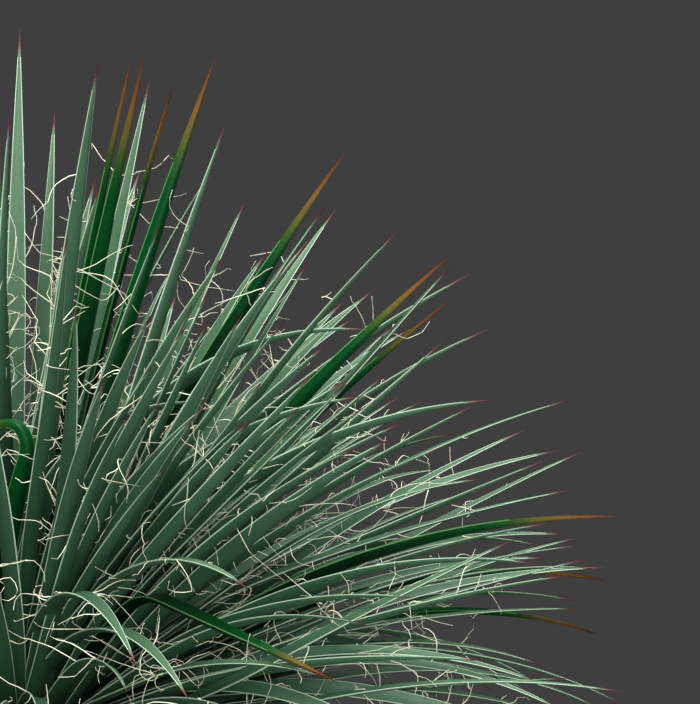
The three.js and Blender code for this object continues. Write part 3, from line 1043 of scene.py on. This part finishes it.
def root_tone(leaf, rng):
    """Tone at a leaf's root: paler among the upright leaves, partly their own colour and partly painted
    shade on the low leaves, with some play.
    """
    lift = math.sin(math.radians(leaf.root_lift))
    return TONE_AT_ROOT + TONE_LIFT * lift + rng.normal(0, TONE_PLAY)


def pale_skin():
    """Skin of the grey-green leaves, whose darker under tones are painted shade."""
    bands = graded_bands("leaf_tip", GLAUCOUS_TIP, GLAUCOUS_BANDS, TIP_FINISH)
    return Skin(
        tops=toned_skins("leaf_glaucous", FACE_TONES, TONES, FACE_FINISH),
        unders=toned_skins("leaf_glaucous_under_shaded", UNDER_SHADED_TONES, TONES, UNDER_FINISH),
        margin=leaf_material("leaf_margin_pale", GLAUCOUS_MARGIN, MARGIN_FINISH),
        margin_end=GLAUCOUS_MARGIN_END,
        bands=bands,
        stations=tip_stations(BODY_STATIONS, bands),
        section=SECTION,
    )


def green_skin():
    """Skin of the deep green leaves, which have a deeper keel, with painted shade in their near black
    roots and undersides and a painted highlight in part of their margin.
    """
    bands = graded_bands("leaf_green_tip", DEEP_GREEN_TIP, GREEN_BANDS, GREEN_TIP_FINISH)
    return Skin(
        tops=toned_skins("leaf_deep_green", GREEN_FACE_TONES, GREEN_TONES, GREEN_FACE_FINISH),
        unders=toned_skins("leaf_deep_green_under_shaded", GREEN_UNDER_SHADED_TONES, GREEN_TONES, GREEN_UNDER_FINISH),
        margin=leaf_material("leaf_margin_green_and_highlight", GREEN_MARGIN_AND_HIGHLIGHT, GREEN_MARGIN_FINISH),
        margin_end=GREEN_MARGIN_END,
        bands=bands,
        stations=tip_stations(GREEN_BODY_STATIONS, bands),
        section=keeled(SECTION, GREEN_KEEL),
    )


def thread_materials():
    """A material for each colour of thread."""
    return [
        leaf_material(f"thread_{number}", colour, THREAD_FINISH)
        for number, colour in enumerate(THREAD_COLOURS)
    ]


def add_plant(grown):
    """The pale leaves and their threads tier by tier, the deep green leaves and the stem."""
    rng = np.random.default_rng(COLOUR_SEED)
    toned = [(leaf, points, root_tone(leaf, rng)) for leaf, points in grown]
    pale, green, threads = pale_skin(), green_skin(), thread_materials()
    for level, tier in enumerate(TIERS):
        name = tier[0]
        leaves = [row for row in toned if tier_of(row[0]) == level and not row[0].deep_green]
        dress(leaf_piece(f"agave_leaves_{name}", leaves, pale), "leaf", *group_names(tier))
        counts, seed = THREADS_PER_LEAF[name], THREAD_SEED + level
        dress(thread_piece(f"agave_threads_{name}", leaves, counts, threads, seed), "leaf")
    deep_green = [row for row in toned if row[0].deep_green]
    dress(leaf_piece("agave_leaves_deep_green", deep_green, green), "leaf")
    dress(stem_piece(bark_material()), "stem", "stem")


def add_camera():
    """The scene's camera, placed so that the rosette's middle falls on its pixel."""
    right = Vector((1, 0, 0))
    upward = Vector((0, math.sin(CAMERA_ELEVATION), math.cos(CAMERA_ELEVATION)))
    forward = Vector((0, math.cos(CAMERA_ELEVATION), -math.sin(CAMERA_ELEVATION)))
    aim = Vector((0, 0, DOME_CENTRE_HEIGHT * MM))
    aim += right * (FRAME_WIDTH / 2 - ROSETTE_PIXEL[0]) * PIXEL
    aim += upward * (ROSETTE_PIXEL[1] - FRAME_HEIGHT / 2) * PIXEL
    camera = bpy.data.objects.new("camera", bpy.data.cameras.new("camera"))
    camera.data.sensor_fit = "HORIZONTAL"
    camera.data.sensor_width = SENSOR
    camera.data.lens = SENSOR * CAMERA_DISTANCE / (FRAME_WIDTH * PIXEL)
    camera.location = aim - forward * CAMERA_DISTANCE
    camera.rotation_mode = "QUATERNION"
    camera.rotation_quaternion = forward.to_track_quat("-Z", "Y")
    bpy.context.collection.objects.link(camera)
    bpy.context.scene.camera = camera


def add_light(name, place, size, power):
    """A round soft light turned to the lit spot."""
    light = bpy.data.objects.new(name, bpy.data.lights.new(name, "AREA"))
    light.data.shape = "DISK"
    light.data.size = size
    light.data.energy = power
    light.location = place
    light.rotation_mode = "QUATERNION"
    light.rotation_quaternion = (Vector(LIT_SPOT) - Vector(place)).to_track_quat("-Z", "Y")
    bpy.context.collection.objects.link(light)


def add_backdrop():
    """Plain grey all around, shown as its screen colour."""
    world = bpy.data.worlds.new("studio")
    world.use_nodes = True
    world.node_tree.nodes["Background"].inputs["Color"].default_value = linear(BACKDROP)
    bpy.context.scene.world = world
    bpy.context.scene.view_settings.view_transform = "Standard"


rosette = Rosette()
grow_part_leaves(rosette)
grow_fillers(rosette)
add_plant(rosette.grown)
floor_piece(floor_material())
add_camera()
for row in LIGHTS:
    add_light(*row)
add_backdrop()
